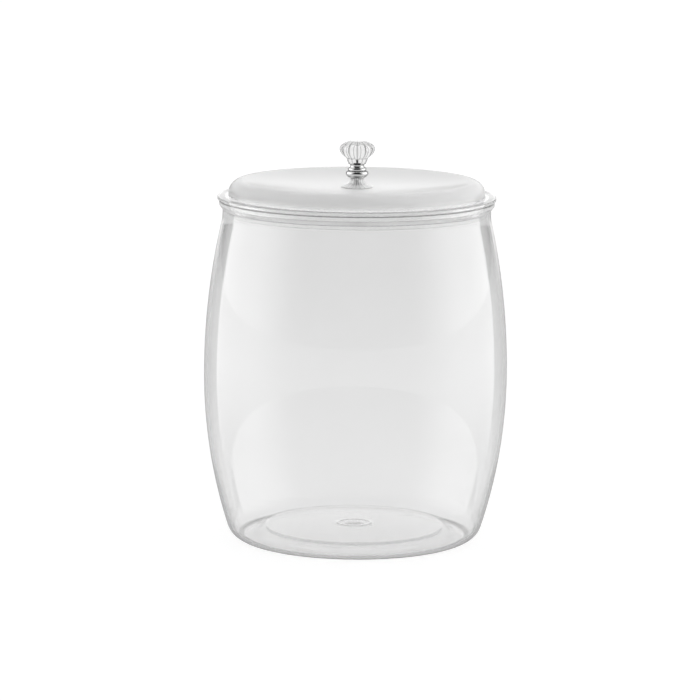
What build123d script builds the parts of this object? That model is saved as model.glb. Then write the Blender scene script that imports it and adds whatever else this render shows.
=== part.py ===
from build123d import *
from math import acos, asin, atan2, cos, pi, radians, sin, sqrt
import os

# A barrel-shaped clear storage jar with a lift-off lid and a fluted crystal knob.
# Millimetres, +Z up. The origin is the centre of the ring that the jar stands on.

# Jar body: the outside of its wall, from the floor up
push_up_height = 7.9
push_up_edge_curve = 4.0
push_up_side_slope = 20.0
ring_inner_radius = 75.8
ring_inner_curve = 6.5
heel_curve = 13.9
belly_radius = 108.35
belly_height = 119.2
lower_wall_curve = 360.0
upper_wall_curve = 492.0
neck_radius = 95.4
neck_curve = 30.0
wall = 2.2

# Jar body: the rim and the moulding gate under the floor
rim_radius = 97.9
rim_top = 244.4
rim_depth = 3.6
rim_slope_depth = 3.2
rim_edge = 0.6
gate_ring_radius = 11.8
gate_ring_width = 0.9
gate_ring_height = 0.5
gate_nub_radius = 5.6
gate_nub_height = 1.1
gate_nub_edge = 0.6
gate_sink = 0.3

# Lid: a dished top with a rolled shoulder, a flange that rests on the rim, and a plug skirt
lid_wall = 2.0
flange_radius = 99.0
flange_thickness = 2.4
flange_edge = 0.5
shoulder_centre_radius = 81.8
shoulder_curve = 9.55
shoulder_height = 4.2
dish_height = 8.4
skirt_radius = 92.7
skirt_wall = 1.8
skirt_depth = 10.2
skirt_edge = 0.4
seat_radius = 12.5
under_seat_radius = 8.0
lid_hole_radius = 2.4

# Fixing: an M4 pan head screw from inside the lid, with a soft and a steel washer
screw_radius = 1.95
screw_bore = 2.2
screw_head_radius = 4.0
screw_head_height = 2.5
screw_head_crown = 1.5
screw_head_face_radius = 2.7
screw_length = 24.0
pilot_radius = 0.8
pilot_length = 1.9
pilot_taper = 0.8
recess_width = 1.0
recess_length = 4.2
recess_depth = 1.4
soft_washer_radius = 6.5
soft_washer_thickness = 1.0
steel_washer_radius = 4.9
steel_washer_thickness = 0.8

# Knob stem: heights are above the lid's seat
pad_radius = 10.9
pad_thickness = 0.25
brim_radius = 11.3
brim_thickness = 0.35
brim_curve_point = (9.0, 1.2)
flare_point = (6.8, 2.2)
stem_curve_point = (5.05, 3.9)
stem_neck = (4.6, 6.1)
ring_centre_radius = 6.15
ring_curve = 1.85
ring_start_angle = -1.0
split_height = 11.76
bead_centre_radius = 5.4
bead_curve = 1.15
bead_end_angle = 1.35
cup_neck_radius = 4.85
cup_neck_height = 15.5
cup_radius = 6.3
cup_height = 16.9
pocket_radius = 4.2
pocket_depth = 1.9

# Crystal: radii of the arrises between the flutes, at heights above the cup's rim
flute_count = 12
crystal_foot = (6.2, 0.0)
shank_low = (7.2, 2.4)
shank_high = (7.8, 4.0)
underside_low = (9.5, 5.3)
underside_middle = (11.0, 6.8)
underside_high = (12.1, 8.7)
girdle = (12.5, 10.6)
crown_low = (11.9, 12.6)
crown_high = (9.3, 14.6)
table = (5.4, 16.1)
flute_depth_share = 0.075
spigot_clearance = 0.1
spigot_overlap = 0.5
insert_radius = 2.8
insert_bore = 2.0
insert_length = 3.2
insert_flange_radius = 3.4
insert_flange_height = 0.8
socket_end_room = 0.3

same_place = 0.01


def arc_point(centre, radius, angle):
    """A point on a circle; the angle is in radians from the +R direction."""
    return (centre[0] + radius * cos(angle), centre[1] + radius * sin(angle))


def arc_between(centre, radius, start, end):
    """An arc of a circle in the radius-height plane, from one angle to another."""
    first = arc_point(centre, radius, start)
    middle = arc_point(centre, radius, (start + end) / 2)
    last = arc_point(centre, radius, end)
    return ThreePointArc(first, middle, last)


def turned(profile):
    """Revolve a closed radius-height outline about the vertical axis."""
    face = make_face(Plane.XZ * profile)
    return revolve(face, Axis.Z, 360)


def ring(outer, inner, low, high):
    """A plain flat ring between two heights."""
    outline = Polyline((inner, low), (outer, low), (outer, high), (inner, high), close=True)
    return turned(outline)


# Centres and joining angles of the jar's wall arcs
lower_centre = (belly_radius - lower_wall_curve, belly_height)
upper_centre = (belly_radius - upper_wall_curve, belly_height)
heel_reach = sqrt((lower_wall_curve - heel_curve) ** 2 - (belly_height - heel_curve) ** 2)
heel_centre = (lower_centre[0] + heel_reach, heel_curve)
heel_angle = -asin((belly_height - heel_curve) / (lower_wall_curve - heel_curve))
ring_centre = (ring_inner_radius, ring_inner_curve)
side_angle = radians(push_up_side_slope)
edge_centre = arc_point(ring_centre, push_up_edge_curve + ring_inner_curve, pi + side_angle)
edge_drop = push_up_height - edge_centre[1]
arch_sum = edge_centre[0] ** 2 + edge_drop ** 2 - push_up_edge_curve ** 2
arch_radius = arch_sum / 2 / (edge_drop - push_up_edge_curve)
arch_centre = (0.0, push_up_height - arch_radius)
arch_angle = atan2(edge_centre[1] - arch_centre[1], edge_centre[0])
neck_reach = neck_radius + neck_curve - upper_centre[0]
neck_angle = acos(neck_reach / (upper_wall_curve + neck_curve))
neck_centre_height = belly_height + sin(neck_angle) * (upper_wall_curve + neck_curve)
neck_centre = (neck_radius + neck_curve, neck_centre_height)


def jar_line(inset):
    """The wall's line from the middle of the floor to the neck, moved inwards by inset."""
    return [
        arc_between(arch_centre, arch_radius + inset, pi / 2, arch_angle),
        arc_between(edge_centre, push_up_edge_curve + inset, arch_angle, side_angle),
        arc_between(ring_centre, ring_inner_curve - inset, pi + side_angle, 1.5 * pi),
        Line((ring_inner_radius, inset), (heel_centre[0], inset)),
        arc_between(heel_centre, heel_curve - inset, -pi / 2, heel_angle),
        arc_between(lower_centre, lower_wall_curve - inset, heel_angle, 0.0),
        arc_between(upper_centre, upper_wall_curve - inset, 0.0, neck_angle),
        arc_between(neck_centre, neck_curve + inset, pi + neck_angle, pi),
    ]


def make_jar_body():
    rim_low = rim_top - rim_depth
    slope_low = rim_low - rim_slope_depth
    mouth_radius = neck_radius - wall
    rim = [
        Line((neck_radius, neck_centre[1]), (neck_radius, slope_low)),
        Line((neck_radius, slope_low), (rim_radius, rim_low)),
        Line((rim_radius, rim_low), (rim_radius, rim_top - rim_edge)),
        Line((rim_radius, rim_top - rim_edge), (rim_radius - rim_edge, rim_top)),
        Line((rim_radius - rim_edge, rim_top), (mouth_radius + rim_edge, rim_top)),
        Line((mouth_radius + rim_edge, rim_top), (mouth_radius, rim_top - rim_edge)),
        Line((mouth_radius, rim_top - rim_edge), (mouth_radius, neck_centre[1])),
    ]
    middle = [Line((0, push_up_height), (0, push_up_height + wall))]
    body = turned(Curve() + jar_line(0.0) + rim + jar_line(wall) + middle)
    floor_top = push_up_height + wall
    sunk = floor_top - gate_sink
    nub = ring(gate_nub_radius, 0.0, sunk, floor_top + gate_nub_height)
    nub = chamfer(nub.edges().sort_by(Axis.Z)[-1], gate_nub_edge)
    step = ring(gate_ring_radius, gate_ring_radius - gate_ring_width, sunk, floor_top + gate_ring_height)
    return body + nub + step


# Centres and joining angle of the lid's dished top and its shoulder
flange_top = rim_top + flange_thickness
shoulder_centre = (shoulder_centre_radius, rim_top + shoulder_height)
dish_low = rim_top + dish_height
dish_rise = dish_low - shoulder_centre[1]
dish_radius = (shoulder_centre_radius ** 2 + dish_rise ** 2 - shoulder_curve ** 2) / 2
dish_radius = dish_radius / (shoulder_curve - dish_rise)
dish_centre = (0.0, dish_low + dish_radius)
dish_angle = acos(shoulder_centre_radius / (dish_radius + shoulder_curve))


def lid_line(inset, seat):
    """The lid's top line from its flat seat to the foot of its shoulder, moved in by inset."""
    radius = dish_radius + inset
    seat_angle = acos(seat / radius)
    seat_height = dish_centre[1] - radius * sin(seat_angle)
    curves = [
        Line((lid_hole_radius, seat_height), (seat, seat_height)),
        arc_between(dish_centre, radius, -seat_angle, -dish_angle),
        arc_between(shoulder_centre, shoulder_curve - inset, pi - dish_angle, 0.0),
    ]
    return curves, seat_height


top_line, seat_top = lid_line(0.0, seat_radius)
under_line, seat_under = lid_line(lid_wall, under_seat_radius)
screw_bearing = seat_under - soft_washer_thickness - steel_washer_thickness
screw_tip = screw_bearing + screw_length


def make_lid_shell():
    foot = (shoulder_centre_radius + shoulder_curve, shoulder_centre[1])
    inner_foot = (foot[0] - lid_wall, foot[1])
    skirt_low = rim_top - skirt_depth
    skirt_inner = skirt_radius - skirt_wall
    edge = [
        Line(foot, (foot[0], flange_top)),
        Line((foot[0], flange_top), (flange_radius, flange_top)),
        Line((flange_radius, flange_top), (flange_radius, rim_top)),
        Line((flange_radius, rim_top), (skirt_radius, rim_top)),
        Line((skirt_radius, rim_top), (skirt_radius, skirt_low)),
        Line((skirt_radius, skirt_low), (skirt_inner, skirt_low)),
        Line((skirt_inner, skirt_low), (skirt_inner, rim_top)),
        Line((skirt_inner, rim_top), (inner_foot[0], rim_top + lid_wall)),
        Line((inner_foot[0], rim_top + lid_wall), inner_foot),
    ]
    hole = [Line((lid_hole_radius, seat_under), (lid_hole_radius, seat_top))]
    shell = turned(Curve() + top_line + edge + under_line + hole)
    circles = shell.edges().filter_by(GeomType.CIRCLE)
    shell = chamfer([e for e in circles if abs(e.radius - flange_radius) < same_place], flange_edge)
    circles = shell.edges().filter_by(GeomType.CIRCLE)
    return chamfer([e for e in circles if abs(e.center().Z - skirt_low) < same_place], skirt_edge)


def make_foot_pad():
    return ring(pad_radius, screw_bore, seat_top, seat_top + pad_thickness)


def make_stem_foot():
    low = seat_top + pad_thickness
    brim_top = low + brim_thickness
    split = seat_top + split_height
    brim_curve = (brim_curve_point[0], seat_top + brim_curve_point[1])
    flare = (flare_point[0], seat_top + flare_point[1])
    stem_curve = (stem_curve_point[0], seat_top + stem_curve_point[1])
    neck = (stem_neck[0], seat_top + stem_neck[1])
    big_ring = (ring_centre_radius, split - ring_curve)
    ring_start = arc_point(big_ring, ring_curve, ring_start_angle)
    outline = Curve() + [
        Line((screw_bore, low), (brim_radius, low)),
        Line((brim_radius, low), (brim_radius, brim_top)),
        ThreePointArc((brim_radius, brim_top), brim_curve, flare),
        ThreePointArc(flare, stem_curve, neck),
        Line(neck, ring_start),
        arc_between(big_ring, ring_curve, ring_start_angle, pi / 2),
        Line((ring_centre_radius, split), (screw_bore, split)),
        Line((screw_bore, split), (screw_bore, low)),
    ]
    return turned(outline)


def make_stem_cup():
    low = seat_top + split_height
    rim = seat_top + cup_height
    pocket = rim - pocket_depth
    bead = (bead_centre_radius, low + bead_curve)
    bead_top = arc_point(bead, bead_curve, bead_end_angle)
    neck = (cup_neck_radius, seat_top + cup_neck_height)
    outline = Curve() + [
        Line((screw_bore, low), (bead_centre_radius, low)),
        arc_between(bead, bead_curve, -pi / 2, bead_end_angle),
        ThreePointArc(bead_top, neck, (cup_radius, rim)),
        Line((cup_radius, rim), (pocket_radius, rim)),
        Line((pocket_radius, rim), (pocket_radius, pocket)),
        Line((pocket_radius, pocket), (screw_bore, pocket)),
        Line((screw_bore, pocket), (screw_bore, low)),
    ]
    return turned(outline)


def flute_section(radius, height):
    """A closed ring of hollow flutes that meet in sharp arrises."""
    step = 2 * pi / flute_count
    valley = radius * (1 - flute_depth_share)
    flutes = []
    for index in range(flute_count):
        start = index * step
        flutes.append(ThreePointArc(
            (radius * cos(start), radius * sin(start), height),
            (valley * cos(start + step / 2), valley * sin(start + step / 2), height),
            (radius * cos(start + step), radius * sin(start + step), height),
        ))
    return make_face(Curve() + flutes)


crystal_levels = [
    crystal_foot, shank_low, shank_high, underside_low, underside_middle,
    underside_high, girdle, crown_low, crown_high, table,
]


def make_knob_crystal():
    """The fluted crystal with its spigot, its socket for the insert and a blind hole for the pilot."""
    rim = seat_top + cup_height
    sections = [flute_section(radius, rim + height) for radius, height in crystal_levels]
    crystal = loft(sections, ruled=True)
    pocket = rim - pocket_depth
    hole_radius = pilot_radius + socket_end_room
    spigot = ring(pocket_radius - spigot_clearance, 0.0, pocket, rim + spigot_overlap)
    socket = ring(insert_radius, 0.0, pocket, pocket + insert_length)
    flange_room = ring(insert_flange_radius, 0.0, pocket, pocket + insert_flange_height)
    hole = ring(hole_radius, 0.0, pocket, screw_tip + socket_end_room)
    return crystal + spigot - socket - flange_room - hole


def make_knob_insert():
    low = seat_top + cup_height - pocket_depth
    flange_top_height = low + insert_flange_height
    high = low + insert_length
    outline = Polyline(
        (insert_bore, low), (insert_flange_radius, low), (insert_flange_radius, flange_top_height),
        (insert_radius, flange_top_height), (insert_radius, high), (insert_bore, high), close=True)
    return turned(outline)


def make_lid_washer():
    return ring(soft_washer_radius, screw_bore, seat_under - soft_washer_thickness, seat_under)


def make_screw_washer():
    high = seat_under - soft_washer_thickness
    return ring(steel_washer_radius, screw_bore, high - steel_washer_thickness, high)


def make_knob_screw():
    """The screw, with a cross recess in its head and a thin pilot at its tip."""
    head_low = screw_bearing - screw_head_height
    pilot_foot = screw_tip - pilot_length
    outline = Polyline(
        (0, head_low), (screw_head_face_radius, head_low), (screw_head_radius, head_low + screw_head_crown),
        (screw_head_radius, screw_bearing), (screw_radius, screw_bearing),
        (screw_radius, pilot_foot - pilot_taper), (pilot_radius, pilot_foot),
        (pilot_radius, screw_tip), (0, screw_tip), close=True)
    recess = Part()
    for turn in (0, 90):
        slot = Box(recess_length, recess_width, 2 * recess_depth)
        recess += Pos(0, 0, head_low) * Rot(0, 0, turn) * slot
    return turned(outline) - recess


makers = {
    "jar_body": make_jar_body,
    "lid_shell": make_lid_shell,
    "foot_pad": make_foot_pad,
    "stem_foot": make_stem_foot,
    "stem_cup": make_stem_cup,
    "knob_crystal": make_knob_crystal,
    "knob_insert": make_knob_insert,
    "lid_washer": make_lid_washer,
    "screw_washer": make_screw_washer,
    "knob_screw": make_knob_screw,
}

os.makedirs("parts", exist_ok=True)
for name, make in makers.items():
    export_step(make(), f"parts/{name}.step")
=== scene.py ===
from collections import namedtuple
from math import acos, asin, atan2, cos, hypot, pi, radians, sin, sqrt

import bmesh
import bpy
from mathutils import Matrix, Vector


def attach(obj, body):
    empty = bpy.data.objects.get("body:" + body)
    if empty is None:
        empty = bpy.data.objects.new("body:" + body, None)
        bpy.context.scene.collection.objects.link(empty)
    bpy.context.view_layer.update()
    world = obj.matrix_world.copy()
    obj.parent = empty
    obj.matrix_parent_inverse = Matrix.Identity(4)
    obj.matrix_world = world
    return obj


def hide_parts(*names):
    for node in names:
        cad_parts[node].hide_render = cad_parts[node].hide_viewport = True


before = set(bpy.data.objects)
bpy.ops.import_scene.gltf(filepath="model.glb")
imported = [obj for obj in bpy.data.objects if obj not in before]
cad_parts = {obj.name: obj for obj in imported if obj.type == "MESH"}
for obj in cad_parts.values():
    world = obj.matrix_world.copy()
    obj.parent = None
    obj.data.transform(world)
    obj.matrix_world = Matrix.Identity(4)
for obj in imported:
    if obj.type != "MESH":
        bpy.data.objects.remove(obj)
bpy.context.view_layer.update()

MM = 0.001
FLUTES = 12

# How many faces go round the large turned pieces, the small ones and the screw
AROUND = 256
SMALL_AROUND = 96
SCREW_AROUND = 48

# Sizes of pieces are in millimetres, and heights are above the plane that the jar stands on

# The jar's wall
PUSH_UP = 7.9
PUSH_UP_EDGE = 4.0
PUSH_UP_SIDE = radians(20)
RING_INNER = 75.8
RING_CURVE = 6.5
HEEL_CURVE = 13.9
BELLY_RADIUS = 108.35
BELLY_HEIGHT = 119.2
LOWER_CURVE = 360.0
UPPER_CURVE = 492.0
NECK_RADIUS = 95.4
NECK_CURVE = 30.0
WALL = 2.2
RIM_RADIUS = 97.9
RIM_TOP = 244.4
RIM_DEPTH = 3.6
RIM_SLOPE = 3.2
RIM_ROUNDING = [0.8, 0.5, 0.6, 0.6]

# The moulding gate in the jar's floor: radii, and heights above the floor
GATE_NUB = [(0.0, 0.7), (3.6, 0.66), (4.6, 0.5), (5.4, 0.2), (6.2, 0.04), (9.6, 0.0)]
GATE_RING = [(10.4, 0.08), (11.0, 0.22), (11.6, 0.22), (12.2, 0.08)]
GATE_RADIUS = 12.8

# The lid
LID_WALL = 2.0
FLANGE_RADIUS = 99.0
FLANGE_THICKNESS = 2.4
SHOULDER_CENTRE = (81.8, RIM_TOP + 4.2)
SHOULDER_CURVE = 9.55
DISH_LOW = RIM_TOP + 8.4
SKIRT_RADIUS = 92.7
SKIRT_WALL = 1.8
SKIRT_LOW = RIM_TOP - 10.2
FLANGE_ROUNDING = [0.4, 0.45, 0.5, 0.3, 0.4, 0.4, 1.0, 1.0]
SEAT_RADIUS = 12.5
UNDER_SEAT_RADIUS = 8.0
LID_HOLE = 2.4


# Outlines: points in the radius-height plane

def arc(centre, radius, start, end, steps):
    """Points along an arc, from one angle to another, both ends included."""
    points = []
    for index in range(steps + 1):
        angle = start + (end - start) * index / steps
        points.append((centre[0] + radius * cos(angle), centre[1] + radius * sin(angle)))
    return points


def rounded(points, radii, steps=5):
    """A path with each corner between its ends rounded by its radius, as a list of points."""
    path = [points[0]]
    for before, corner, after, radius in zip(points, points[1:], points[2:], radii):
        if radius <= 0:
            path.append(corner)
            continue
        into = Vector(before) - Vector(corner)
        out = Vector(after) - Vector(corner)
        half = into.angle(out) / 2
        reach = radius / sin(half) * cos(half)
        start = Vector(corner) + into.normalized() * reach
        end = Vector(corner) + out.normalized() * reach
        middle = (into.normalized() + out.normalized()).normalized()
        centre = Vector(corner) + middle * radius / sin(half)
        first = atan2(start.y - centre.y, start.x - centre.x)
        turn = atan2(end.y - centre.y, end.x - centre.x) - first
        turn = (turn + pi) % (2 * pi) - pi
        path += arc(centre, radius, first, first + turn, steps)
    path.append(points[-1])
    return path


def lathe(name, outline, around=AROUND, closed=True):
    """A mesh turned from an outline about the vertical axis; the outline is in millimetres."""
    bm = bmesh.new()
    rings = []
    for radius, height in outline:
        if radius < 1e-6:
            rings.append([bm.verts.new((0, 0, height * MM))])
            continue
        ring = []
        for index in range(around):
            angle = 2 * pi * index / around
            ring.append(bm.verts.new((radius * MM * cos(angle), radius * MM * sin(angle), height * MM)))
        rings.append(ring)
    pairs = list(zip(rings, rings[1:]))
    if closed:
        pairs.append((rings[-1], rings[0]))
    for low, high in pairs:
        if len(low) == 1 and len(high) == 1:
            continue
        for index in range(around):
            after = (index + 1) % around
            if len(low) == 1:
                bm.faces.new((low[0], high[index], high[after]))
            elif len(high) == 1:
                bm.faces.new((low[index], low[after], high[0]))
            else:
                bm.faces.new((low[index], low[after], high[after], high[index]))
    return finish_mesh(name, bm)


def finish_mesh(name, bm, crease=35):
    """Turn a bmesh into an object with smooth faces and sharp edges where faces meet steeply."""
    bmesh.ops.recalc_face_normals(bm, faces=bm.faces)
    mesh = bpy.data.meshes.new(name)
    bm.to_mesh(mesh)
    bm.free()
    mesh.shade_smooth()
    mesh.set_sharp_from_angle(angle=radians(crease))
    piece = bpy.data.objects.new(name, mesh)
    bpy.context.scene.collection.objects.link(piece)
    return piece


def place(piece, body, node, material):
    """Let a piece stand for its CAD node, on that node's body, with its finish."""
    piece.data.materials.append(material)
    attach(piece, body)
    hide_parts(node)
    return piece


# Materials

# Just under the big ring on the knob's stem, where the metals' finish changes
UNDER_RING = RIM_TOP + 16.3

# A band of the clear plastic: its heights and radii, how softly its heights end, its tint, and how
# softly its radii end. In the heel, trough, neck, rim slope, seam and lid edge bands that tint is
# painted light or shade.
Band = namedtuple("Band", "low high inner outer soft tint fade", defaults=[1.0, 2.0])
# Painted shade: a dark line along the heel's foot, and the heel a little darker above it
HEEL_SHADE_LINE = Band(-1.0, 0.9, 80.5, 119.0, soft=1.2, tint=0.16)
HEEL_SHADE_BAND = Band(-1.0, 7.0, 80.5, 119.0, soft=7.0, tint=0.97)
# Painted light: the plastic round the raised floor's edge is made brighter than clear
TROUGH_LIGHT_BAND = Band(-1.0, 9.0, 64.0, 77.5, soft=3.0, tint=1.04)
FLOOR_BAND = Band(-1.0, 12.0, -1.0, 61.0, soft=3.0, tint=0.94)
# Painted shade: a dark line in the crease at the neck's foot; painted highlight: a brighter band on the
# rim's slope
NECK_SHADE_LINE = Band(RIM_TOP - 7.4, RIM_TOP - 7.0, 81.0, 119.0, soft=0.3, tint=0.85)
RIM_SLOPE_HIGHLIGHT = Band(RIM_TOP - 6.2, RIM_TOP - 3.8, 81.0, 119.0, soft=0.4, tint=1.08)
# Painted shadow: a dark line in the gap under the lid's flange; painted shade: a dark line round the
# flange's edge
SEAM_SHADOW_LINE = Band(RIM_TOP - 0.9, RIM_TOP - 0.3, 98.0, 119.0, soft=0.3, tint=0.13)
LID_EDGE_SHADE_LINE = Band(RIM_TOP + 2.1, RIM_TOP + 2.5, 99.2, 119.0, soft=0.15, tint=0.3)
BANDS = [HEEL_SHADE_LINE, HEEL_SHADE_BAND, TROUGH_LIGHT_BAND, FLOOR_BAND, NECK_SHADE_LINE, RIM_SLOPE_HIGHLIGHT, SEAM_SHADOW_LINE, LID_EDGE_SHADE_LINE]

# The raised floor's rounded edge, which hardly shows: this share of the light passes it unbent
SOFT_EDGE = Band(-1.0, 11.0, 65.0, 77.0, soft=3.0, tint=0.945, fade=3.0)
SOFT_EDGE_SHARE = 0.75

# Light that has been turned back inside more often than this is let out, soonest in the heel
HEEL_ZONE = Band(-1.0, 12.0, 80.0, 119.0, soft=3.0)
HEEL_TURNS = 0.5
PLASTIC_TURNS = 1.5
CRYSTAL_TURNS = 3.5

# Clear plastic: tints near the base and near the rim, the jar's darker rim tint being painted shade,
# the tint of light that is let through, and how close and how high its waves are
JAR_TINT_AND_RIM_SHADE = (0.912, 0.847)
LID_TINTS = (0.942, 0.942)
TINT_HEIGHTS = (30.0, 210.0)
PASSING_TINT = 0.97
PLASTIC_IOR = 1.5
WAVE_SCALE = 9.0
WAVE_HEIGHT = 0.03

# The lid's satin crown and its haze, which is whiter where the crown is steep and near its middle:
# painted light on the steep shoulder and painted shade towards the crown's edge
LID_SATIN = 0.15
LID_MILKY = 0.55
CROWN_HEIGHTS = (RIM_TOP, RIM_TOP + 7.0)
HAZE_FACING = (0.8, 0.995)
HAZE_SLOPE_LIGHT_TONES = (0.97, 0.94)
HAZE_RADII = (20.0, 75.0)
HAZE_EDGE_SHADE = 0.9

# Metals: an edge is the tone at a grazing view, drawn is said of the chrome below the big ring,
# and marks and ripples below are how close they are and how deep
MARKS_STRENGTH = 0.3
CHROME_COLOUR = (0.8, 0.8, 0.81, 1.0)
CHROME_EDGE = 0.2
CHROME_ROUGHNESS = 0.05
CHROME_MARKS = (900.0, 0.02)
DRAWN_ROUGHNESS = 0.4
DRAWN_METALLIC = 0.5
DRAWN_EDGE = 0.8
DRAWN_HEIGHTS = (UNDER_RING, UNDER_RING - 1.2)
DRAWN_SCALE = 7.0
DRAWN_DEPTH = 0.6
DRAWN_SHARES = (0.35, 0.65)
# Painted highlight: the brim and the foot of the flare are made pale and barely metallic
BRIM_HEIGHTS = (UNDER_RING - 5.0, UNDER_RING - 6.2)
BRIM_METALLIC = 0.15
BRIM_HIGHLIGHT_TONE = 0.95
STEEL_COLOUR = (0.55, 0.55, 0.56, 1.0)
STEEL_EDGE = 0.5
STEEL_ROUGHNESS = 0.25
STEEL_MARKS = (1500.0, 0.04)
TIP_HEIGHTS = (UNDER_RING, UNDER_RING + 2.0)
TIP_TONE = 0.06

# Crystal: its tone, and darker where light is turned back, with painted shade at the arrises and at its
# outline
CRYSTAL_IOR = 1.52
CRYSTAL_ROUGHNESS = 0.02
CRYSTAL_RIPPLE = (350.0, 0.02)
CRYSTAL_TONE = 0.86
TURNED_BACK_TONE = 0.5
# Painted shade: dark lines along the arrises
ARRIS_SHADE_TONE = 0.25
ARRIS_WIDTH = 0.55
FLUTED_RADII = (4.6, 5.6)
# Painted shade round the outline, darkest at the foot
OUTLINE_BLEND = 0.35
OUTLINE_FACING = (0.55, 0.95)
OUTLINE_SHADE_TONE = 0.5
FOOT_OUTLINE_SHADE_TONE = 0.2
FOOT_HEIGHTS = (UNDER_RING + 10.5, UNDER_RING + 8.5)
CRYSTAL_PASSING_TINT = 0.95

# The soft pad and its mottle
PAD_DARK = (0.78, 0.78, 0.76, 1.0)
PAD_LIGHT = (0.9, 0.9, 0.89, 1.0)
PAD_MOTTLE = (400.0, 0.03)
PAD_MOTTLE_STRENGTH = 0.4
PAD_ROUGHNESS = 0.45
PAD_CLEAR_SHARE = 0.35


def new_material(name):
    material = bpy.data.materials.new(name)
    material.use_nodes = True
    tree = material.node_tree
    tree.nodes.clear()
    output = tree.nodes.new("ShaderNodeOutputMaterial")
    return material, tree, output


def add(tree, kind, **inputs):
    """Add a node and set its named inputs; a value that is a socket is linked."""
    node = tree.nodes.new(kind)
    for key, value in inputs.items():
        socket = node.inputs[key.replace("_", " ")]
        if isinstance(value, bpy.types.NodeSocket):
            tree.links.new(value, socket)
        else:
            socket.default_value = value
    return node


def ramp(tree, value, low, high, smooth=True):
    """A share from 0 to 1 as a value goes from low to high."""
    node = add(tree, "ShaderNodeMapRange", Value=value, From_Min=low, From_Max=high)
    node.interpolation_type = "SMOOTHSTEP" if smooth else "LINEAR"
    return node.outputs["Result"]


def ramp_mm(tree, value, low, high, smooth=True):
    """A ramp for a value in metres, between two values in millimetres."""
    return ramp(tree, value, low * MM, high * MM, smooth)


def blend_values(tree, share, first, second):
    """first where share is 0 and second where it is 1."""
    node = tree.nodes.new("ShaderNodeMix")
    for socket, value in zip((node.inputs[0], node.inputs[2], node.inputs[3]), (share, first, second)):
        if isinstance(value, bpy.types.NodeSocket):
            tree.links.new(value, socket)
        else:
            socket.default_value = value
    return node.outputs[0]


def maths(tree, operation, *values):
    node = tree.nodes.new("ShaderNodeMath")
    node.operation = operation
    for socket, value in zip(node.inputs, values):
        if isinstance(value, bpy.types.NodeSocket):
            tree.links.new(value, socket)
        else:
            socket.default_value = value
    return node.outputs[0]


def product(tree, first, *others):
    for other in others:
        first = maths(tree, "MULTIPLY", first, other)
    return first


def grey(tree, tone):
    """The grey colour of a tone."""
    return add(tree, "ShaderNodeCombineXYZ", X=tone, Y=tone, Z=tone).outputs[0]


def mix_shaders(tree, share, first, second):
    """The first shader where share is 0 and the second where it is 1."""
    mix = add(tree, "ShaderNodeMixShader", Fac=share)
    tree.links.new(first.outputs[0], mix.inputs[1])
    tree.links.new(second.outputs[0], mix.inputs[2])
    return mix


def distance_from_axis(tree, split):
    """How far a point is from the jar's axis, from its separated coordinates."""
    squares = [product(tree, split.outputs[name], split.outputs[name]) for name in ("X", "Y")]
    return maths(tree, "SQRT", maths(tree, "ADD", *squares))


def between(tree, value, low, high, soft):
    """A share that is 1 between two sizes in millimetres and fades out over soft millimetres."""
    above = ramp_mm(tree, value, low - soft, low)
    below = ramp_mm(tree, value, high + soft, high)
    return product(tree, above, below)


def in_band(tree, height, off_axis, area):
    """A share that is 1 in a band of the plastic and fades out past its edges."""
    upright = between(tree, height, area.low, area.high, area.soft)
    return product(tree, upright, between(tree, off_axis, area.inner, area.outer, area.fade))


def let_light_through(tree, output, surface, tint, turns, unbent=0.0):
    """Let shadows and soft light pass, and light that has been turned back inside more than turns times.

    unbent is the share of all other light that passes too.
    """
    paths = add(tree, "ShaderNodeLightPath")
    passing = maths(tree, "MAXIMUM", paths.outputs["Is Shadow Ray"], paths.outputs["Is Diffuse Ray"])
    trapped = maths(tree, "GREATER_THAN", paths.outputs["Glossy Depth"], turns)
    passing = maths(tree, "MAXIMUM", maths(tree, "MAXIMUM", passing, trapped), unbent)
    see_through = add(tree, "ShaderNodeBsdfTransparent", Color=grey(tree, tint))
    mix = mix_shaders(tree, passing, surface, see_through)
    tree.links.new(mix.outputs[0], output.inputs["Surface"])


def add_haze(tree, surface, coords, height, off_axis):
    """Make the lid's crown satin, and mix a soft white into it, with painted light where the crown is
    steep and painted shade towards its edge.
    """
    crown = ramp_mm(tree, height, *CROWN_HEIGHTS)
    tree.links.new(product(tree, crown, LID_SATIN), surface.inputs["Roughness"])
    # Painted light and shade: the haze is whitened where the crown is steep and darkened towards its edge
    facing = add(tree, "ShaderNodeSeparateXYZ", Vector=coords.outputs["Normal"])
    level = maths(tree, "ABSOLUTE", facing.outputs["Z"])
    haze_light_and_shade = blend_values(tree, ramp(tree, level, *HAZE_FACING), *HAZE_SLOPE_LIGHT_TONES)
    outwards = ramp_mm(tree, off_axis, *HAZE_RADII)
    haze_light_and_shade = product(tree, haze_light_and_shade, blend_values(tree, outwards, 1.0, HAZE_EDGE_SHADE))
    haze = add(tree, "ShaderNodeBsdfDiffuse", Color=grey(tree, haze_light_and_shade))
    return mix_shaders(tree, product(tree, crown, LID_MILKY), surface, haze)


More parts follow.
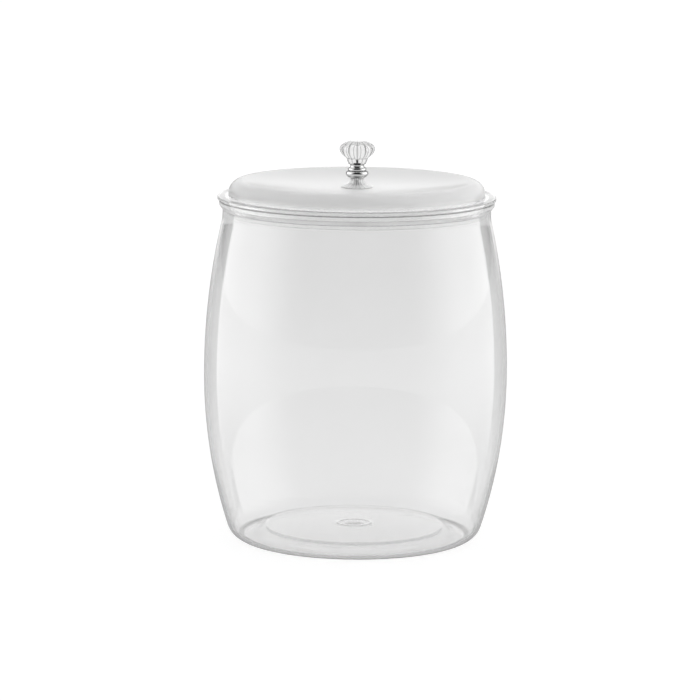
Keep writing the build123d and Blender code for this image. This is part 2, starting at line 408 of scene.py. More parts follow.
def clear_material(name, tints, hazy=False):
    """Clear moulded plastic: refracting, faintly tinted, with a slow moulding waviness.

    The tints are near the base and near the rim; the jar's darker tint near the rim is painted shade,
    and the bands paint lines of shade and light into it. The lid's plastic is hazy above its flange.
    """
    material, tree, output = new_material(name)
    coords = add(tree, "ShaderNodeTexCoord")
    waves = add(tree, "ShaderNodeTexNoise", Vector=coords.outputs["Object"], Scale=WAVE_SCALE, Detail=2.0)
    bump = add(
        tree, "ShaderNodeBump", Height=waves.outputs["Fac"], Strength=1.0, Distance=WAVE_HEIGHT * MM)
    split = add(tree, "ShaderNodeSeparateXYZ", Vector=coords.outputs["Object"])
    height = split.outputs["Z"]
    off_axis = distance_from_axis(tree, split)
    rise = ramp_mm(tree, height, *TINT_HEIGHTS, smooth=False)
    tint = blend_values(tree, rise, *tints)
    # The bands darken or brighten the tint; most of them paint shade lines and highlights
    for area in BANDS:
        share = in_band(tree, height, off_axis, area)
        tint = product(tree, tint, blend_values(tree, share, 1.0, area.tint))
    surface = add(
        tree, "ShaderNodeBsdfPrincipled", Base_Color=grey(tree, tint), Roughness=0.0, IOR=PLASTIC_IOR,
        Normal=bump.outputs["Normal"])
    surface.inputs["Transmission Weight"].default_value = 1.0
    if hazy:
        surface = add_haze(tree, surface, coords, height, off_axis)
    heel = in_band(tree, height, off_axis, HEEL_ZONE)
    turns = blend_values(tree, heel, PLASTIC_TURNS, HEEL_TURNS)
    soft_edge = in_band(tree, height, off_axis, SOFT_EDGE)
    passing_tint = blend_values(tree, soft_edge, PASSING_TINT, SOFT_EDGE.tint)
    unbent = product(tree, soft_edge, SOFT_EDGE_SHARE)
    let_light_through(tree, output, surface, passing_tint, turns, unbent)
    return material


def metal_material(name, colour, edge, roughness, mark_scale, mark_depth):
    """Plated metal with fine polishing marks; edge is its tone where it is seen at a grazing angle."""
    material, tree, output = new_material(name)
    coords = add(tree, "ShaderNodeTexCoord")
    split = add(tree, "ShaderNodeSeparateXYZ", Vector=coords.outputs["Object"])
    marks = add(tree, "ShaderNodeTexNoise", Vector=coords.outputs["Object"], Scale=mark_scale, Detail=4.0)
    bump = add(
        tree, "ShaderNodeBump", Height=marks.outputs["Fac"], Strength=MARKS_STRENGTH,
        Distance=mark_depth * MM)
    surface = add(
        tree, "ShaderNodeBsdfPrincipled", Base_Color=colour, Metallic=1.0, Roughness=roughness,
        Specular_Tint=(edge, edge, edge, 1.0), Normal=bump.outputs["Normal"])
    tree.links.new(surface.outputs[0], output.inputs["Surface"])
    return material, tree, split, surface


def chrome_material():
    """Chrome: a mirror from the stem's big ring up, with upright marks below it, and its brim painted
    pale and barely metallic as a painted highlight.
    """
    material, tree, split, surface = metal_material(
        "chrome", CHROME_COLOUR, CHROME_EDGE, CHROME_ROUGHNESS, *CHROME_MARKS)
    angle = maths(tree, "ARCTAN2", split.outputs["Y"], split.outputs["X"])
    upright = add(tree, "ShaderNodeCombineXYZ", X=angle, Y=0.0, Z=0.0)
    lines = add(tree, "ShaderNodeTexNoise", Vector=upright.outputs[0], Scale=DRAWN_SCALE, Detail=3.0)
    below = ramp_mm(tree, split.outputs["Z"], *DRAWN_HEIGHTS)
    brim = ramp_mm(tree, split.outputs["Z"], *BRIM_HEIGHTS)
    smooth = ramp(tree, lines.outputs["Fac"], *DRAWN_SHARES)
    rough = blend_values(tree, smooth, DRAWN_ROUGHNESS, DRAWN_ROUGHNESS / 2)
    rough = blend_values(tree, below, CHROME_ROUGHNESS, rough)
    polished = surface.inputs["Normal"].links[0].from_socket
    drawn = add(
        tree, "ShaderNodeBump", Height=lines.outputs["Fac"], Strength=below, Distance=DRAWN_DEPTH * MM,
        Normal=polished)
    # Painted highlight: pale, barely metallic chrome at the brim
    metallic = blend_values(tree, brim, blend_values(tree, below, 1.0, DRAWN_METALLIC), BRIM_METALLIC)
    tone = blend_values(tree, brim, CHROME_COLOUR[0], BRIM_HIGHLIGHT_TONE)
    edge = blend_values(tree, below, CHROME_EDGE, DRAWN_EDGE)
    tree.links.new(rough, surface.inputs["Roughness"])
    tree.links.new(drawn.outputs["Normal"], surface.inputs["Normal"])
    tree.links.new(metallic, surface.inputs["Metallic"])
    tree.links.new(grey(tree, tone), surface.inputs["Base Color"])
    tree.links.new(grey(tree, edge), surface.inputs["Specular Tint"])
    return material


def steel_material():
    """Bright steel, darker from the stem's big ring up, where it shows through the crystal."""
    material, tree, split, surface = metal_material(
        "steel", STEEL_COLOUR, STEEL_EDGE, STEEL_ROUGHNESS, *STEEL_MARKS)
    tip = ramp_mm(tree, split.outputs["Z"], *TIP_HEIGHTS)
    tone = blend_values(tree, tip, STEEL_COLOUR[0], TIP_TONE)
    tree.links.new(grey(tree, tone), surface.inputs["Base Color"])
    return material


def crystal_material():
    """Clear cast crystal, with painted shade at the arrises between its flutes and round its outline."""
    material, tree, output = new_material("crystal_plastic")
    coords = add(tree, "ShaderNodeTexCoord")
    split = add(tree, "ShaderNodeSeparateXYZ", Vector=coords.outputs["Object"])
    angle = maths(tree, "ARCTAN2", split.outputs["Y"], split.outputs["X"])
    # Painted shade along the arrises between the flutes
    across = maths(tree, "ABSOLUTE", maths(tree, "SINE", product(tree, angle, FLUTES / 2)))
    fluted = ramp_mm(tree, distance_from_axis(tree, split), *FLUTED_RADII)
    arris_shade = product(tree, fluted, maths(tree, "SUBTRACT", 1.0, ramp(tree, across, 0.0, ARRIS_WIDTH)))
    paths = add(tree, "ShaderNodeLightPath")
    turned_back = maths(tree, "GREATER_THAN", paths.outputs["Glossy Depth"], 0.5)
    inner_tone = blend_values(tree, turned_back, CRYSTAL_TONE, TURNED_BACK_TONE)
    tone = blend_values(tree, arris_shade, inner_tone, ARRIS_SHADE_TONE)
    # Painted shade round the outline, darker near the foot
    facing = add(tree, "ShaderNodeLayerWeight", Blend=OUTLINE_BLEND)
    outline = ramp(tree, facing.outputs["Facing"], *OUTLINE_FACING)
    foot = ramp_mm(tree, split.outputs["Z"], *FOOT_HEIGHTS)
    outline_shade_tone = blend_values(tree, foot, OUTLINE_SHADE_TONE, FOOT_OUTLINE_SHADE_TONE)
    tone = product(tree, tone, blend_values(tree, outline, 1.0, outline_shade_tone))
    close, deep = CRYSTAL_RIPPLE
    ripple = add(tree, "ShaderNodeTexNoise", Vector=coords.outputs["Object"], Scale=close, Detail=2.0)
    bump = add(tree, "ShaderNodeBump", Height=ripple.outputs["Fac"], Strength=1.0, Distance=deep * MM)
    surface = add(
        tree, "ShaderNodeBsdfPrincipled", Base_Color=grey(tree, tone), Roughness=CRYSTAL_ROUGHNESS,
        IOR=CRYSTAL_IOR, Normal=bump.outputs["Normal"])
    surface.inputs["Transmission Weight"].default_value = 1.0
    let_light_through(tree, output, surface, CRYSTAL_PASSING_TINT, CRYSTAL_TURNS)
    return material


def pad_material():
    """Milky soft plastic with a faint mottle."""
    material, tree, output = new_material("soft_pad")
    coords = add(tree, "ShaderNodeTexCoord")
    close, deep = PAD_MOTTLE
    mottle = add(tree, "ShaderNodeTexNoise", Vector=coords.outputs["Object"], Scale=close, Detail=3.0)
    colour = tree.nodes.new("ShaderNodeValToRGB")
    tree.links.new(mottle.outputs["Fac"], colour.inputs["Fac"])
    colour.color_ramp.elements[0].color = PAD_DARK
    colour.color_ramp.elements[1].color = PAD_LIGHT
    bump = add(
        tree, "ShaderNodeBump", Height=mottle.outputs["Fac"], Strength=PAD_MOTTLE_STRENGTH,
        Distance=deep * MM)
    surface = add(
        tree, "ShaderNodeBsdfPrincipled", Base_Color=colour.outputs["Color"], Roughness=PAD_ROUGHNESS,
        Normal=bump.outputs["Normal"])
    surface.inputs["Transmission Weight"].default_value = PAD_CLEAR_SHARE
    tree.links.new(surface.outputs[0], output.inputs["Surface"])
    return material


clear_plastic = clear_material("clear_plastic", JAR_TINT_AND_RIM_SHADE)
lid_plastic = clear_material("lid_plastic", LID_TINTS, hazy=True)
crystal_plastic = crystal_material()
chrome = chrome_material()
steel = steel_material()
soft_pad = pad_material()


# The jar

lower_centre = (BELLY_RADIUS - LOWER_CURVE, BELLY_HEIGHT)
upper_centre = (BELLY_RADIUS - UPPER_CURVE, BELLY_HEIGHT)
heel_reach = sqrt((LOWER_CURVE - HEEL_CURVE) ** 2 - (BELLY_HEIGHT - HEEL_CURVE) ** 2)
heel_centre = (lower_centre[0] + heel_reach, HEEL_CURVE)
heel_angle = -asin((BELLY_HEIGHT - HEEL_CURVE) / (LOWER_CURVE - HEEL_CURVE))
edge_reach = PUSH_UP_EDGE + RING_CURVE
edge_centre = (RING_INNER - edge_reach * cos(PUSH_UP_SIDE), RING_CURVE - edge_reach * sin(PUSH_UP_SIDE))
edge_drop = PUSH_UP - edge_centre[1]
arch_sum = edge_centre[0] ** 2 + edge_drop ** 2 - PUSH_UP_EDGE ** 2
arch_radius = arch_sum / 2 / (edge_drop - PUSH_UP_EDGE)
arch_centre = (0.0, PUSH_UP - arch_radius)
arch_angle = atan2(edge_centre[1] - arch_centre[1], edge_centre[0])
neck_angle = acos((NECK_RADIUS + NECK_CURVE - upper_centre[0]) / (UPPER_CURVE + NECK_CURVE))
neck_centre = (NECK_RADIUS + NECK_CURVE, BELLY_HEIGHT + sin(neck_angle) * (UPPER_CURVE + NECK_CURVE))


def jar_line(inset):
    """The wall's line from the middle of the floor to the neck, moved inwards by inset."""
    points = arc(arch_centre, arch_radius + inset, pi / 2, arch_angle, 24)
    points[0] = (0.0, points[0][1])
    points += arc(edge_centre, PUSH_UP_EDGE + inset, arch_angle, PUSH_UP_SIDE, 10)[1:]
    points += arc((RING_INNER, RING_CURVE), RING_CURVE - inset, pi + PUSH_UP_SIDE, 1.5 * pi, 10)[1:]
    points += arc(heel_centre, HEEL_CURVE - inset, -pi / 2, heel_angle, 16)
    points += arc(lower_centre, LOWER_CURVE - inset, heel_angle, 0.0, 24)[1:]
    points += arc(upper_centre, UPPER_CURVE - inset, 0.0, neck_angle, 24)[1:]
    points += arc(neck_centre, NECK_CURVE + inset, pi + neck_angle, pi, 6)[1:]
    return points


def with_gate(floor):
    """The floor's line from its middle outwards, with the moulding gate's nub and its ring."""
    top = PUSH_UP + WALL
    gate = [(radius, top + height) for radius, height in GATE_NUB + GATE_RING]
    return gate + [point for point in floor if point[0] > GATE_RADIUS]


def make_jar():
    outer = jar_line(0.0)
    inner = with_gate(jar_line(WALL))
    rim_low = RIM_TOP - RIM_DEPTH
    mouth = NECK_RADIUS - WALL
    corners = [
        outer[-1], (NECK_RADIUS, rim_low - RIM_SLOPE), (RIM_RADIUS, rim_low), (RIM_RADIUS, RIM_TOP),
        (mouth, RIM_TOP), inner[-1],
    ]
    rim = rounded(corners, RIM_ROUNDING)
    return lathe("jar", outer + rim[1:-1] + inner[::-1], closed=False)


# The lid

dish_rise = DISH_LOW - SHOULDER_CENTRE[1]
dish_radius = (SHOULDER_CENTRE[0] ** 2 + dish_rise ** 2 - SHOULDER_CURVE ** 2) / 2
dish_radius = dish_radius / (SHOULDER_CURVE - dish_rise)
dish_centre = (0.0, DISH_LOW + dish_radius)
dish_angle = acos(SHOULDER_CENTRE[0] / (dish_radius + SHOULDER_CURVE))


def lid_line(inset, seat):
    """The lid's top line from its flat seat to the foot of its shoulder, moved in by inset."""
    radius = dish_radius + inset
    seat_angle = acos(seat / radius)
    height = dish_centre[1] - radius * sin(seat_angle)
    points = [(LID_HOLE, height)]
    points += arc(dish_centre, radius, -seat_angle, -dish_angle, 30)
    points += arc(SHOULDER_CENTRE, SHOULDER_CURVE - inset, pi - dish_angle, 0.0, 24)[1:]
    return points


top_line = lid_line(0.0, SEAT_RADIUS)
under_line = lid_line(LID_WALL, UNDER_SEAT_RADIUS)
SEAT_TOP = top_line[0][1]
SEAT_UNDER = under_line[0][1]


def make_lid():
    foot = top_line[-1]
    inner_foot = under_line[-1]
    flange_top = RIM_TOP + FLANGE_THICKNESS
    skirt_inner = SKIRT_RADIUS - SKIRT_WALL
    corners = [
        foot, (foot[0], flange_top), (FLANGE_RADIUS, flange_top), (FLANGE_RADIUS, RIM_TOP),
        (SKIRT_RADIUS, RIM_TOP), (SKIRT_RADIUS, SKIRT_LOW), (skirt_inner, SKIRT_LOW),
        (skirt_inner, RIM_TOP), (inner_foot[0], RIM_TOP + LID_WALL), inner_foot,
    ]
    edge = rounded(corners, FLANGE_ROUNDING)
    return lathe("lid", top_line + edge[1:-1] + under_line[::-1])


# The knob's stem: heights are above the lid's seat, and a waist is a point that an arc passes

PAD_RADIUS = 10.9
PAD_THICKNESS = 0.25
PAD_ROUNDING = 0.08
BRIM_RADIUS = 11.3
BRIM_TOP = 0.6
BRIM_EDGE = 10.9
BRIM_ROUNDING = [0.1, 0.15]
SCREW_BORE = 2.2
SPLIT = 11.76
BIG_RING_CENTRE = 6.15
BIG_RING_CURVE = 1.85
BIG_RING_START = -1.0
BRIM_WAIST = (9.0, 1.2)
FOOT_FLARE = (6.8, 2.2)
FOOT_WAIST = (5.05, 3.9)
FOOT_NECK = (4.6, 6.1)
BEAD_CENTRE = 5.4
BEAD_CURVE = 1.15
BEAD_END = 1.35
CUP_WAIST = (4.85, 15.5)
CUP_HEIGHT = 16.9
CUP_RADIUS = 6.3
POCKET_RADIUS = 4.2
POCKET_DEPTH = 1.9


def through(first, middle, last, steps):
    """Points of the arc through three points."""
    ax, ay = first
    bx, by = middle
    cx, cy = last
    turn = 2 * (ax * (by - cy) + bx * (cy - ay) + cx * (ay - by))
    square_a, square_b, square_c = ax * ax + ay * ay, bx * bx + by * by, cx * cx + cy * cy
    centre = (
        (square_a * (by - cy) + square_b * (cy - ay) + square_c * (ay - by)) / turn,
        (square_a * (cx - bx) + square_b * (ax - cx) + square_c * (bx - ax)) / turn,
    )
    start = atan2(ay - centre[1], ax - centre[0])
    end = atan2(cy - centre[1], cx - centre[0])
    sweep = (end - start + pi) % (2 * pi) - pi
    return arc(centre, hypot(ax - centre[0], ay - centre[1]), start, start + sweep, steps)


def raised(points):
    """Move an outline up to the lid's seat."""
    return [(radius, height + SEAT_TOP) for radius, height in points]


def make_stem_foot():
    low = PAD_THICKNESS
    ring_centre = (BIG_RING_CENTRE, SPLIT - BIG_RING_CURVE)
    around_ring = arc(ring_centre, BIG_RING_CURVE, BIG_RING_START, pi / 2, 20)
    brim = [(SCREW_BORE, low), (BRIM_RADIUS, low), (BRIM_RADIUS, BRIM_TOP), (BRIM_EDGE, BRIM_TOP)]
    points = rounded(brim, BRIM_ROUNDING, 3)
    points += through((BRIM_EDGE, BRIM_TOP + 0.05), BRIM_WAIST, FOOT_FLARE, 8)
    points += through(FOOT_FLARE, FOOT_WAIST, FOOT_NECK, 12)[1:]
    points += around_ring + [(SCREW_BORE, SPLIT)]
    return lathe("stem_pedestal", raised(points), SMALL_AROUND)


def make_stem_cup():
    around_bead = arc((BEAD_CENTRE, SPLIT + BEAD_CURVE), BEAD_CURVE, -pi / 2, BEAD_END, 16)
    flare = through(around_bead[-1], CUP_WAIST, (CUP_RADIUS, CUP_HEIGHT), 14)
    pocket = CUP_HEIGHT - POCKET_DEPTH
    points = [(SCREW_BORE, SPLIT)] + around_bead + flare[1:]
    points += [(POCKET_RADIUS, CUP_HEIGHT), (POCKET_RADIUS, pocket), (SCREW_BORE, pocket)]
    return lathe("stem_collar", raised(points), SMALL_AROUND)


# The crystal: its levels are radii of the arrises between the flutes, at heights above the cup's
# rim, and FLUTE_SHARE is how deep a flute is, as a share of the radius

FLUTE_STEPS = 10
FLUTE_SHARE = 0.08
FLUTES_START = 2.8
FLUTES_FULL = 5.6
CRYSTAL_LEVELS = [
    (6.2, 0.0), (7.2, 2.4), (7.8, 4.0), (9.5, 5.3), (11.0, 6.8), (12.1, 8.7), (12.5, 10.6), (11.9, 12.6),
    (9.3, 14.6), (5.4, 16.1),
]
LEVEL_STEPS = 5
SPIGOT_RADIUS = 4.1
HOLE_RADIUS = 0.82
HOLE_BEYOND_TIP = 0.3

# What fastens the knob: the insert, two washers and the screw, whose head bears on the washers
INSERT_RADIUS = 2.8
INSERT_FLANGE_RADIUS = 3.4
INSERT_FLANGE = 0.8
INSERT_LENGTH = 3.2
INSERT_GAP = 0.02
INSERT_BORE = 2.0
INSERT_BAND = 2.78
INSERT_GROOVE = 2.55
INSERT_BANDS = [
    (INSERT_GROOVE, 1.1), (INSERT_BAND, 1.2), (INSERT_BAND, 1.8), (INSERT_GROOVE, 1.9),
    (INSERT_GROOVE, 2.2), (INSERT_BAND, 2.3),
]
INSERT_CHAMFER = 0.1
SOFT_WASHER_RADIUS = 6.5
SOFT_WASHER = 1.0
SOFT_WASHER_ROUNDING = 0.2
STEEL_WASHER_RADIUS = 4.9
STEEL_WASHER = 0.8
STEEL_WASHER_ROUNDING = 0.12
BEARING = SEAT_UNDER - SOFT_WASHER - STEEL_WASHER
HEAD_RADIUS = 4.0
HEAD_HEIGHT = 2.5
HEAD_SIDE = 0.8
HEAD_FLAT = 2.4
HEAD_DOME = (3.65, 0.7)
RECESS_LENGTH = 4.2
RECESS_WIDTH = 1.0
RECESS_DEPTH = 1.4
SCREW_LENGTH = 24.0
SCREW_TIP = BEARING + SCREW_LENGTH
THREAD_RADIUS = 1.95
THREAD_ROOT = 1.62
THREAD_PITCH = 0.7
THREAD_START = 0.5
THREAD_END = 0.9
THREAD_ROOT_SHARE = 0.45
THREAD_CREST_SHARE = 0.9
PILOT_RADIUS = 0.8
PILOT_LENGTH = 1.9
PILOT_TAPER = 0.8
PILOT_CHAMFER = 0.2


def above_cup(height):
    """A height above the cup's rim, in metres above the standing ring."""
    return (SEAT_TOP + CUP_HEIGHT + height) * MM


def flute_ring(radius, height):
    """One closed ring of hollow flutes that meet in arrises, fading out towards the round foot."""
    depth = FLUTE_SHARE * min(max((height - FLUTES_START) / (FLUTES_FULL - FLUTES_START), 0.0), 1.0)
    points = []
    for flute in range(FLUTES):
        for step in range(FLUTE_STEPS):
            share = step / FLUTE_STEPS
            angle = 2 * pi * (flute + share) / FLUTES
            hollow = 1 - depth * 4 * share * (1 - share)
            across = radius * hollow * MM
            points.append(Vector((across * cos(angle), across * sin(angle), above_cup(height))))
    return points


def smooth_levels(levels, steps):
    """A smooth curve through the levels, as a longer list of levels."""
    knots = [levels[0]] + levels + [levels[-1]]
    curve = []
    for before, first, last, after in zip(knots, knots[1:], knots[2:], knots[3:]):
        for step in range(steps):
            t = step / steps
            point = []
            for a, b, c, d in zip(before, first, last, after):
                bend = 2 * a - 5 * b + 4 * c - d + t * (3 * (b - c) + d - a)
                point.append(b + 0.5 * t * (c - a + t * bend))
            curve.append(tuple(point))
    return curve + [levels[-1]]


def plain_levels(bm, outline, count):
    """Plain rings for an outline that continues a fluted shape, centred on the knob's axis."""
    rings = []
    for radius, height in outline:
        if radius == 0:
            rings.append([bm.verts.new((0, 0, above_cup(height)))])
            continue
        ring = []
        for index in range(count):
            angle = 2 * pi * index / count
            point = (radius * MM * cos(angle), radius * MM * sin(angle), above_cup(height))
            ring.append(bm.verts.new(point))
        rings.append(ring)
    return rings


def make_crystal():
    """The fluted crystal, its spigot in the cup, its socket for the insert and the pilot's blind hole."""
    bm = bmesh.new()
    rings = [[bm.verts.new(point) for point in flute_ring(*level)]
             for level in smooth_levels(CRYSTAL_LEVELS, LEVEL_STEPS)]
    count = FLUTES * FLUTE_STEPS
    low = -POCKET_DEPTH
    insert_top = low + INSERT_LENGTH
    hole_top = SCREW_TIP + HOLE_BEYOND_TIP - SEAT_TOP - CUP_HEIGHT
    below = plain_levels(bm, [
        (0, hole_top), (HOLE_RADIUS, hole_top), (HOLE_RADIUS, insert_top), (INSERT_RADIUS, insert_top),
        (INSERT_RADIUS, low + INSERT_FLANGE), (INSERT_FLANGE_RADIUS, low + INSERT_FLANGE),
        (INSERT_FLANGE_RADIUS, low), (SPIGOT_RADIUS, low), (SPIGOT_RADIUS, 0.0),
    ], count)
    rings = below + rings
    for low_ring, high_ring in zip(rings, rings[1:]):
        for index in range(count):
            after = (index + 1) % count
            if len(low_ring) == 1:
                bm.faces.new((low_ring[0], high_ring[index], high_ring[after]))
            else:
                bm.faces.new((low_ring[index], low_ring[after], high_ring[after], high_ring[index]))
    bm.faces.new(rings[-1])
    return finish_mesh("crystal", bm, crease=20)


# Small pieces of the fixing

def plain_ring(name, outer, inner, low, high, bevel):
    """A flat ring with its four corners rounded."""
    corners = [(inner, (low + high) / 2), (inner, low), (outer, low), (outer, high), (inner, high),
               (inner, (low + high) / 2)]
    return lathe(name, rounded(corners, [bevel] * 4, 3)[:-1], SMALL_AROUND)


def make_insert(low):
    """A plated metal insert with a flange and two raised bands."""
    flange_top = low + INSERT_FLANGE
    flange = INSERT_FLANGE_RADIUS - INSERT_GAP
    high = low + INSERT_LENGTH - INSERT_GAP
    points = [(INSERT_BORE, low), (flange, low), (flange, flange_top), (INSERT_GROOVE, flange_top)]
    points += [(radius, low + height) for radius, height in INSERT_BANDS]
    points += [(INSERT_BAND, high - INSERT_CHAMFER), (INSERT_BAND - INSERT_CHAMFER, high)]
    points += [(INSERT_BORE, high)]
    return lathe("insert", points, SMALL_AROUND)


def cut_cross(screw, low):
    """Cut the cross recess into the screw's head, from below."""
    size = Matrix.Diagonal((RECESS_LENGTH * MM, RECESS_WIDTH * MM, 2 * RECESS_DEPTH * MM, 1.0))
    place_at = Matrix.Translation((0, 0, low * MM))
    slots = []
    for turn in (0.0, pi / 2):
        bm = bmesh.new()
        bmesh.ops.create_cube(bm, size=1.0, matrix=place_at @ Matrix.Rotation(turn, 4, "Z") @ size)
        slots.append(finish_mesh("slot", bm))
        cut = screw.modifiers.new("slot", "BOOLEAN")
        cut.operation = "DIFFERENCE"
        cut.object = slots[-1]
    shape = screw.evaluated_get(bpy.context.evaluated_depsgraph_get())
    screw.data = bpy.data.meshes.new_from_object(shape)
    screw.modifiers.clear()
    for slot in slots:
        bpy.data.objects.remove(slot)


def make_screw():
    """A pan head screw, with its thread as turned grooves and a thin pilot tip."""
    low = BEARING - HEAD_HEIGHT
    pilot = SCREW_TIP - PILOT_LENGTH
    points = [(0, low)]
    dome = (HEAD_DOME[0], low + HEAD_DOME[1])
    points += through((HEAD_FLAT, low), dome, (HEAD_RADIUS, BEARING - HEAD_SIDE), 8)
    points += [(HEAD_RADIUS, BEARING), (THREAD_RADIUS, BEARING)]
    first = BEARING + THREAD_START
    for turn in range(int((pilot - THREAD_END - first) / THREAD_PITCH)):
        start = first + turn * THREAD_PITCH
        points += [
            (THREAD_RADIUS, start), (THREAD_ROOT, start + THREAD_PITCH * THREAD_ROOT_SHARE),
            (THREAD_RADIUS, start + THREAD_PITCH * THREAD_CREST_SHARE),
        ]
    points += [(THREAD_RADIUS, pilot - PILOT_TAPER), (PILOT_RADIUS, pilot)]
    points += [(PILOT_RADIUS, SCREW_TIP - PILOT_CHAMFER), (PILOT_RADIUS - PILOT_CHAMFER, SCREW_TIP)]
    points += [(0, SCREW_TIP)]
    screw = lathe("screw", points, SCREW_AROUND, closed=False)
    cut_cross(screw, low)
    return screw


place(make_jar(), "jar", "jar_body", clear_plastic)
place(make_lid(), "lid", "lid_shell", lid_plastic)
place(make_stem_foot(), "lid", "stem_foot", chrome)
place(make_stem_cup(), "lid", "stem_cup", chrome)
place(make_crystal(), "lid", "knob_crystal", crystal_plastic)
pad = plain_ring("pad", PAD_RADIUS, SCREW_BORE, SEAT_TOP, SEAT_TOP + PAD_THICKNESS, PAD_ROUNDING)
place(pad, "lid", "foot_pad", soft_pad)
insert = make_insert(SEAT_TOP + CUP_HEIGHT - POCKET_DEPTH)
place(insert, "lid", "knob_insert", steel)
washer_split = SEAT_UNDER - SOFT_WASHER
soft_washer = plain_ring(
    "soft_washer", SOFT_WASHER_RADIUS, SCREW_BORE, washer_split, SEAT_UNDER, SOFT_WASHER_ROUNDING)
place(soft_washer, "lid", "lid_washer", soft_pad)
steel_washer = plain_ring(
    "steel_washer", STEEL_WASHER_RADIUS, SCREW_BORE, BEARING, washer_split, STEEL_WASHER_ROUNDING)
place(steel_washer, "lid", "screw_washer", steel)
place(make_screw(), "lid", "knob_screw", steel)


# Floor, light and camera

# The floor, in metres, and how much its colour is lifted to white where it is seen
FLOOR_RADIUS = 6.0
FLOOR_COLOUR = (0.85, 0.85, 0.85, 1.0)
FLOOR_LIFT = 0.27


def make_floor():
    """A white floor that keeps the jar's shadow; reflections outside the plastic pass through it."""
    bm = bmesh.new()
    bmesh.ops.create_circle(bm, cap_ends=True, segments=96, radius=FLOOR_RADIUS)
    floor = finish_mesh("floor", bm)
    material, tree, output = new_material("floor")
    paths = add(tree, "ShaderNodeLightPath")
    seen = maths(tree, "MAXIMUM", paths.outputs["Is Camera Ray"], paths.outputs["Is Transmission Ray"])
    mirrored = maths(tree, "GREATER_THAN", paths.outputs["Glossy Depth"], 0.5)
    outside = maths(tree, "LESS_THAN", paths.outputs["Transmission Depth"], 0.5)
    paint = add(tree, "ShaderNodeBsdfDiffuse", Color=FLOOR_COLOUR)
    lift = add(tree, "ShaderNodeEmission", Color=(1, 1, 1, 1), Strength=product(tree, seen, FLOOR_LIFT))
    both = add(tree, "ShaderNodeAddShader")
    tree.links.new(paint.outputs[0], both.inputs[0])
    tree.links.new(lift.outputs[0], both.inputs[1])
    clear = add(tree, "ShaderNodeBsdfTransparent")
    choose = mix_shaders(tree, product(tree, mirrored, outside), both, clear)
    tree.links.new(choose.outputs[0], output.inputs["Surface"])
    floor.data.materials.append(material)


# How bright the studio's parts are, where 1 is white
BACKDROP_MIDDLE = 0.4
BACKDROP_ENDS = 0.2
BACKDROP_LOW = 0.12
BACKDROP_HIGH = 1.0
SIDE_PANELS = 1.85
SIDE_PANELS_LOW = 0.35
LOW_GLOW = 0.5
HORIZON = 0.0
CEILING = 1.0
ROOM_BEHIND_CAMERA = 0.01
TABLE_NEAR_CAMERA = 0.05

# The least that light which has passed into the plastic finds
INSIDE_PLASTIC = 0.42
INSIDE_PLASTIC_LOW = 0.75

# For soft light alone: a light behind, the ceiling, the least level, and the left side's share
BACK_LIGHT = 2.0
SOFT_CEILING = 0.85
SOFT_FRONT = 0.2
SOFT_LEFT = 0.3

# Where the studio's parts start and end, in degrees from straight behind the jar
MIDDLE_TO_ENDS = (18, 42)
LIT_MIDDLE = (6, 20)
GLOW_MIDDLE = (15, 30)
PANEL_EDGE = (48, 51)
FRONT = (88, 145)
BACK_LIGHT_MIDDLE = (30, 60)

# Where they start and end in height, from -1 straight down to 1 straight up
BACKDROP_FOOT = (-0.2, -0.4)
LIT_MIDDLE_FOOT = (-0.12, -0.08)
LIT_FOOT = (0.02, 0.12)
GLOW_FOOT = (-0.12, -0.06)
GLOW_TOP = (0.3, 0.05)
HORIZON_FOOT = (-0.07, -0.03)
HORIZON_TOP = (0.1, 0.03)
PANEL_FOOT = (-0.1, -0.35)
TABLE_TOP = (-0.45, -0.8)
CEILING_EDGE = (0.35, 0.75)
BACK_LIGHT_FOOT = (0.0, 0.08)
BACK_LIGHT_TOP = (0.55, 0.35)
INSIDE_FOOT = (-0.2, -0.5)

# How much higher the ceiling starts in front, for light that has been mirrored once
CEILING_RAISED = 0.55

# How far to the left the dimmer side starts and ends, from 0 in the middle to -1
LEFT = (-0.3, -0.8)


def outside_angles(tree, around, start, end):
    """A share that is 0 straight behind the jar and 1 past the second angle."""
    return ramp(tree, around, radians(start), radians(end))


def inside_angles(tree, around, start, end):
    """A share that is 1 straight behind the jar and 0 past the second angle."""
    return maths(tree, "SUBTRACT", 1.0, outside_angles(tree, around, start, end))


def in_heights(tree, height, foot, top):
    """A share that is 1 between a soft foot and a soft top."""
    return product(tree, ramp(tree, height, *foot), ramp(tree, height, *top))


def backdrop_level(tree, around, height):
    """The backdrop: dim, white above, with a glow in its middle and a dark horizon."""
    ends = outside_angles(tree, around, *MIDDLE_TO_ENDS)
    level = blend_values(tree, ends, BACKDROP_MIDDLE, BACKDROP_ENDS)
    level = blend_values(tree, ramp(tree, height, *BACKDROP_FOOT), level, BACKDROP_LOW)
    just_below = product(
        tree, inside_angles(tree, around, *LIT_MIDDLE), ramp(tree, height, *LIT_MIDDLE_FOOT))
    lit = maths(tree, "MAXIMUM", just_below, ramp(tree, height, *LIT_FOOT))
    level = blend_values(tree, lit, level, BACKDROP_HIGH)
    near_level = in_heights(tree, height, GLOW_FOOT, GLOW_TOP)
    glow = product(tree, inside_angles(tree, around, *GLOW_MIDDLE), near_level, LOW_GLOW)
    level = maths(tree, "ADD", level, glow)
    horizon = in_heights(tree, height, HORIZON_FOOT, HORIZON_TOP)
    return product(tree, level, blend_values(tree, horizon, 1.0, HORIZON))


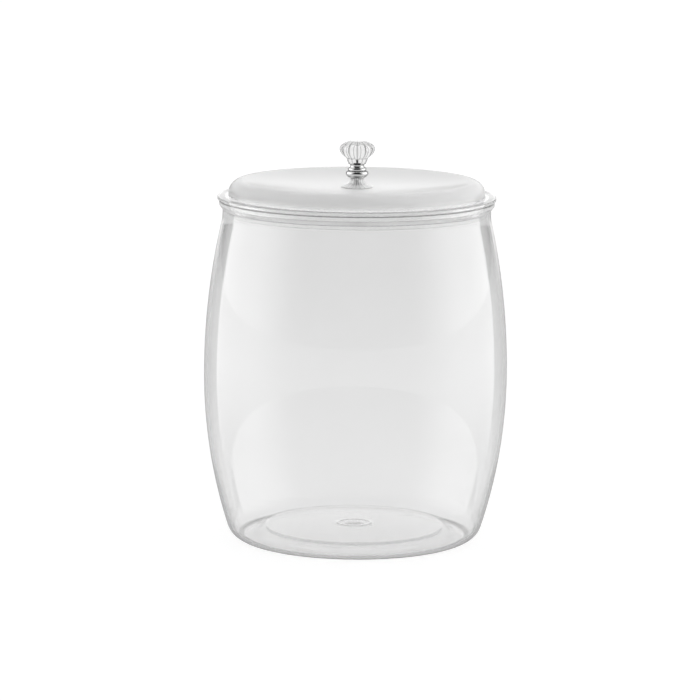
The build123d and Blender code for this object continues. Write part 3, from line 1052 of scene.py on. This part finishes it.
def make_world():
    """White to look at; its reflections show a studio with soft side panels and a dim room in front."""
    world = bpy.data.worlds.new("studio")
    world.use_nodes = True
    tree = world.node_tree
    tree.nodes.clear()
    output = tree.nodes.new("ShaderNodeOutputWorld")
    coords = add(tree, "ShaderNodeTexCoord")
    split = add(tree, "ShaderNodeSeparateXYZ", Vector=coords.outputs["Generated"])
    height = split.outputs["Z"]
    around = maths(tree, "ARCTAN2", maths(tree, "ABSOLUTE", split.outputs["X"]), split.outputs["Y"])
    paths = add(tree, "ShaderNodeLightPath")
    soft = paths.outputs["Is Diffuse Ray"]
    mirrored = maths(tree, "GREATER_THAN", paths.outputs["Glossy Depth"], 0.5)
    once = product(tree, mirrored, maths(tree, "LESS_THAN", paths.outputs["Glossy Depth"], 1.5))
    inside = maths(tree, "GREATER_THAN", paths.outputs["Transmission Depth"], 0.5)

    panels = blend_values(tree, ramp(tree, height, *PANEL_FOOT), SIDE_PANELS, SIDE_PANELS_LOW)
    backdrop = backdrop_level(tree, around, height)
    level = blend_values(tree, outside_angles(tree, around, *PANEL_EDGE), backdrop, panels)
    left = product(tree, soft, ramp(tree, split.outputs["X"], *LEFT))
    level = product(tree, level, blend_values(tree, left, 1.0, SOFT_LEFT))

    front = outside_angles(tree, around, *FRONT)
    room = blend_values(tree, ramp(tree, height, *TABLE_TOP), ROOM_BEHIND_CAMERA, TABLE_NEAR_CAMERA)
    level = blend_values(tree, front, level, room)
    overhead = maths(tree, "SUBTRACT", height, product(tree, front, once, CEILING_RAISED))
    ceiling = blend_values(tree, soft, CEILING, SOFT_CEILING)
    level = blend_values(tree, ramp(tree, overhead, *CEILING_EDGE), level, ceiling)

    low_behind = product(
        tree, inside_angles(tree, around, *BACK_LIGHT_MIDDLE),
        in_heights(tree, height, BACK_LIGHT_FOOT, BACK_LIGHT_TOP))
    level = maths(tree, "ADD", level, product(tree, soft, low_behind, BACK_LIGHT))
    level = maths(tree, "MAXIMUM", level, product(tree, soft, SOFT_FRONT))
    least = blend_values(tree, ramp(tree, height, *INSIDE_FOOT), INSIDE_PLASTIC, INSIDE_PLASTIC_LOW)
    level = maths(tree, "MAXIMUM", level, product(tree, inside, least))

    strength = blend_values(tree, maths(tree, "MAXIMUM", mirrored, soft), 1.0, level)
    studio = add(tree, "ShaderNodeBackground", Color=(1, 1, 1, 1), Strength=strength)
    tree.links.new(studio.outputs[0], output.inputs["Surface"])
    bpy.context.scene.world = world


# The camera, fitted to the photograph: its lens in millimetres, its places in metres
LENS = 194.8
SENSOR = 36.0
SHIFT = -0.008
CAMERA_PLACE = (0.0, -2.6735, 0.5748)
CAMERA_TARGET = (0.0, 0.0, 0.1357)
CAMERA_ROLL = 0.0085


def make_camera():
    data = bpy.data.cameras.new("camera")
    data.lens = LENS
    data.sensor_width = SENSOR
    data.shift_x = SHIFT
    data.clip_start = 0.1
    data.clip_end = 50.0
    camera = bpy.data.objects.new("camera", data)
    bpy.context.scene.collection.objects.link(camera)
    place_at = Vector(CAMERA_PLACE)
    turn = (Vector(CAMERA_TARGET) - place_at).to_track_quat("-Z", "Y").to_matrix().to_4x4()
    camera.matrix_world = Matrix.Translation(place_at) @ turn @ Matrix.Rotation(CAMERA_ROLL, 4, "Z")
    bpy.context.scene.camera = camera


make_floor()
make_world()
make_camera()

bpy.context.scene.view_settings.view_transform = "Standard"
